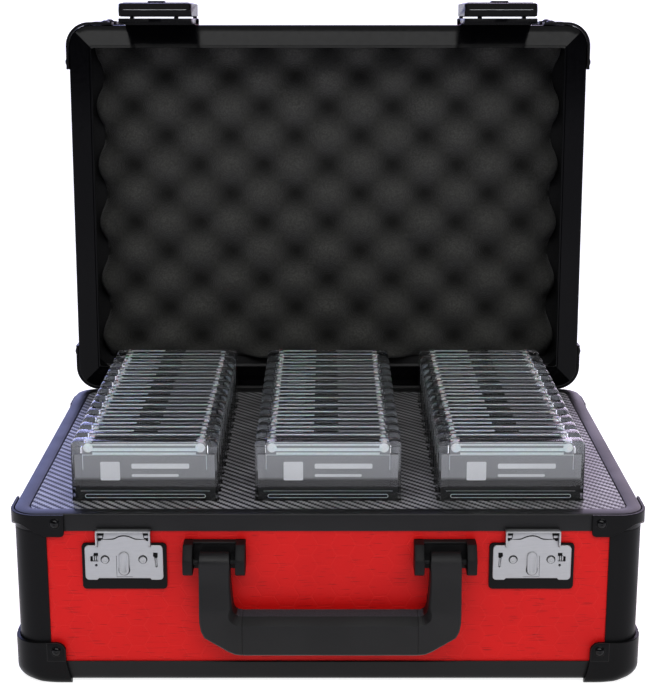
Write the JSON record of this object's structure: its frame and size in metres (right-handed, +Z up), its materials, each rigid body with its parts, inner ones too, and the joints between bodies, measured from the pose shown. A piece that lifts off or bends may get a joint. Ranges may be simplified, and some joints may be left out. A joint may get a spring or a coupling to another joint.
{
  "type": "graded card storage case",
  "caption": "Hard storage case for graded card slabs: red panels, black corner-capped frame, two latches, front handle, slotted foam insert and egg-crate lid foam.",
  "frame": {"origin": "middle of the bottom panel's underside, which lies 4.5 mm above the corner caps' feet", "axes": "+X to the right seen from the front, +Y to the back, +Z up; the latches and the handle are on the -Y face, and the lid stands open"},
  "size_m": [0.3564, 0.3431, 0.3689],
  "materials": {
    "red_laminate": "satin laminate with a fine embossed hexagon grain",
    "black_aluminium": "satin black anodised",
    "gloss_black_frame": "gloss black",
    "black_steel": "semi-matt black powder coat",
    "black_plastic": "fine moulded grain",
    "nickel_steel": "satin nickel plate",
    "black_foam": "open-cell foam",
    "carbon_sheet": "woven-pattern vinyl skin",
    "clear_plastic": "clear polished acrylic"
  },
  "bodies": {
    "base": {"base_front_panel": "red_laminate", "base_back_panel": "red_laminate", "base_left_panel": "red_laminate", "base_right_panel": "red_laminate", "base_bottom_panel": "black_aluminium", "base_bottom_frame": "black_aluminium", "base_rim": "black_aluminium", "hinge_base_leaf": "black_aluminium", "hinge_pin": "black_aluminium", "base_post_front_left": "black_aluminium", "base_post_front_right": "black_aluminium", "base_post_rear_left": "black_aluminium", "base_post_rear_right": "black_aluminium", "base_cap_front_left": "black_steel", "base_cap_front_right": "black_steel", "base_cap_rear_left": "black_steel", "base_cap_rear_right": "black_steel", "base_rim_guard_front_left": "black_steel", "base_rim_guard_front_right": "black_steel", "base_rim_guard_rear_left": "black_steel", "base_rim_guard_rear_right": "black_steel", "latch_backing_left": "black_steel", "latch_backing_right": "black_steel", "handle_bracket_left": "black_plastic", "handle_bracket_right": "black_plastic", "latch_catch_left": "nickel_steel", "latch_catch_right": "nickel_steel", "foam_insert": "black_foam", "insert_top_sheet": "carbon_sheet"},
    "lid": {"lid_top_panel": "red_laminate", "lid_front_panel": "red_laminate", "lid_back_panel": "red_laminate", "lid_left_panel": "red_laminate", "lid_right_panel": "red_laminate", "lid_edge_frame": "black_aluminium", "lid_rim": "gloss_black_frame", "lid_foam": "black_foam", "hinge_lid_leaf": "black_aluminium", "lid_post_front_left": "black_aluminium", "lid_post_front_right": "black_aluminium", "lid_post_rear_left": "black_aluminium", "lid_post_rear_right": "black_aluminium", "lid_cap_front_left": "black_steel", "lid_cap_front_right": "black_steel", "lid_cap_rear_left": "black_steel", "lid_cap_rear_right": "black_steel", "lid_rim_guard_front_left": "black_steel", "lid_rim_guard_front_right": "black_steel", "lid_rim_guard_rear_left": "black_steel", "lid_rim_guard_rear_right": "black_steel", "lever_mount_left": "black_steel", "lever_mount_right": "black_steel"},
    "handle": {"handle": "black_plastic"},
    "latch_lever_left": {"latch_lever_left": "black_steel"},
    "latch_slide_left": {"latch_slide_left": "nickel_steel"},
    "latch_lever_right": {"latch_lever_right": "black_steel"},
    "latch_slide_right": {"latch_slide_right": "nickel_steel"},
    "slab_row_left": {"slab_row_left": "clear_plastic"},
    "slab_row_middle": {"slab_row_middle": "clear_plastic"},
    "slab_row_right": {"slab_row_right": "clear_plastic"}
  },
  "joints": [
    {"name": "lid_hinge", "type": "hinge", "parent": "base", "child": "lid", "pos_m": [0, 0.1255, 0.0977], "axis": [-1, 0, 0], "range_deg": [-92.73, 0]},
    {"name": "handle_swing", "type": "hinge", "parent": "base", "child": "handle", "pos_m": [0, -0.133, 0.0725], "axis": [-1, 0, 0], "range_deg": [0, 100]},
    {"name": "latch_lever_left_flip", "type": "hinge", "parent": "lid", "child": "latch_lever_left", "pos_m": [-0.11285, 0.16208, 0.35675], "axis": [-1, 0, 0], "range_deg": [0, 110]},
    {"name": "latch_slide_left_push", "type": "slide", "parent": "base", "child": "latch_slide_left", "axis": [0, 0, 1], "range_m": [0, 0.003], "stiffness_N_per_m": 80, "springref_m": -0.002},
    {"name": "latch_lever_right_flip", "type": "hinge", "parent": "lid", "child": "latch_lever_right", "pos_m": [0.11285, 0.16208, 0.35675], "axis": [-1, 0, 0], "range_deg": [0, 110]},
    {"name": "latch_slide_right_push", "type": "slide", "parent": "base", "child": "latch_slide_right", "axis": [0, 0, 1], "range_m": [0, 0.003], "stiffness_N_per_m": 80, "springref_m": -0.002},
    {"name": "slab_row_left_lift", "type": "slide", "parent": "base", "child": "slab_row_left", "axis": [0, 0, 1], "range_m": [0, 0.13]},
    {"name": "slab_row_middle_lift", "type": "slide", "parent": "base", "child": "slab_row_middle", "axis": [0, 0, 1], "range_m": [0, 0.13]},
    {"name": "slab_row_right_lift", "type": "slide", "parent": "base", "child": "slab_row_right", "axis": [0, 0, 1], "range_m": [0, 0.13]}
  ]
}
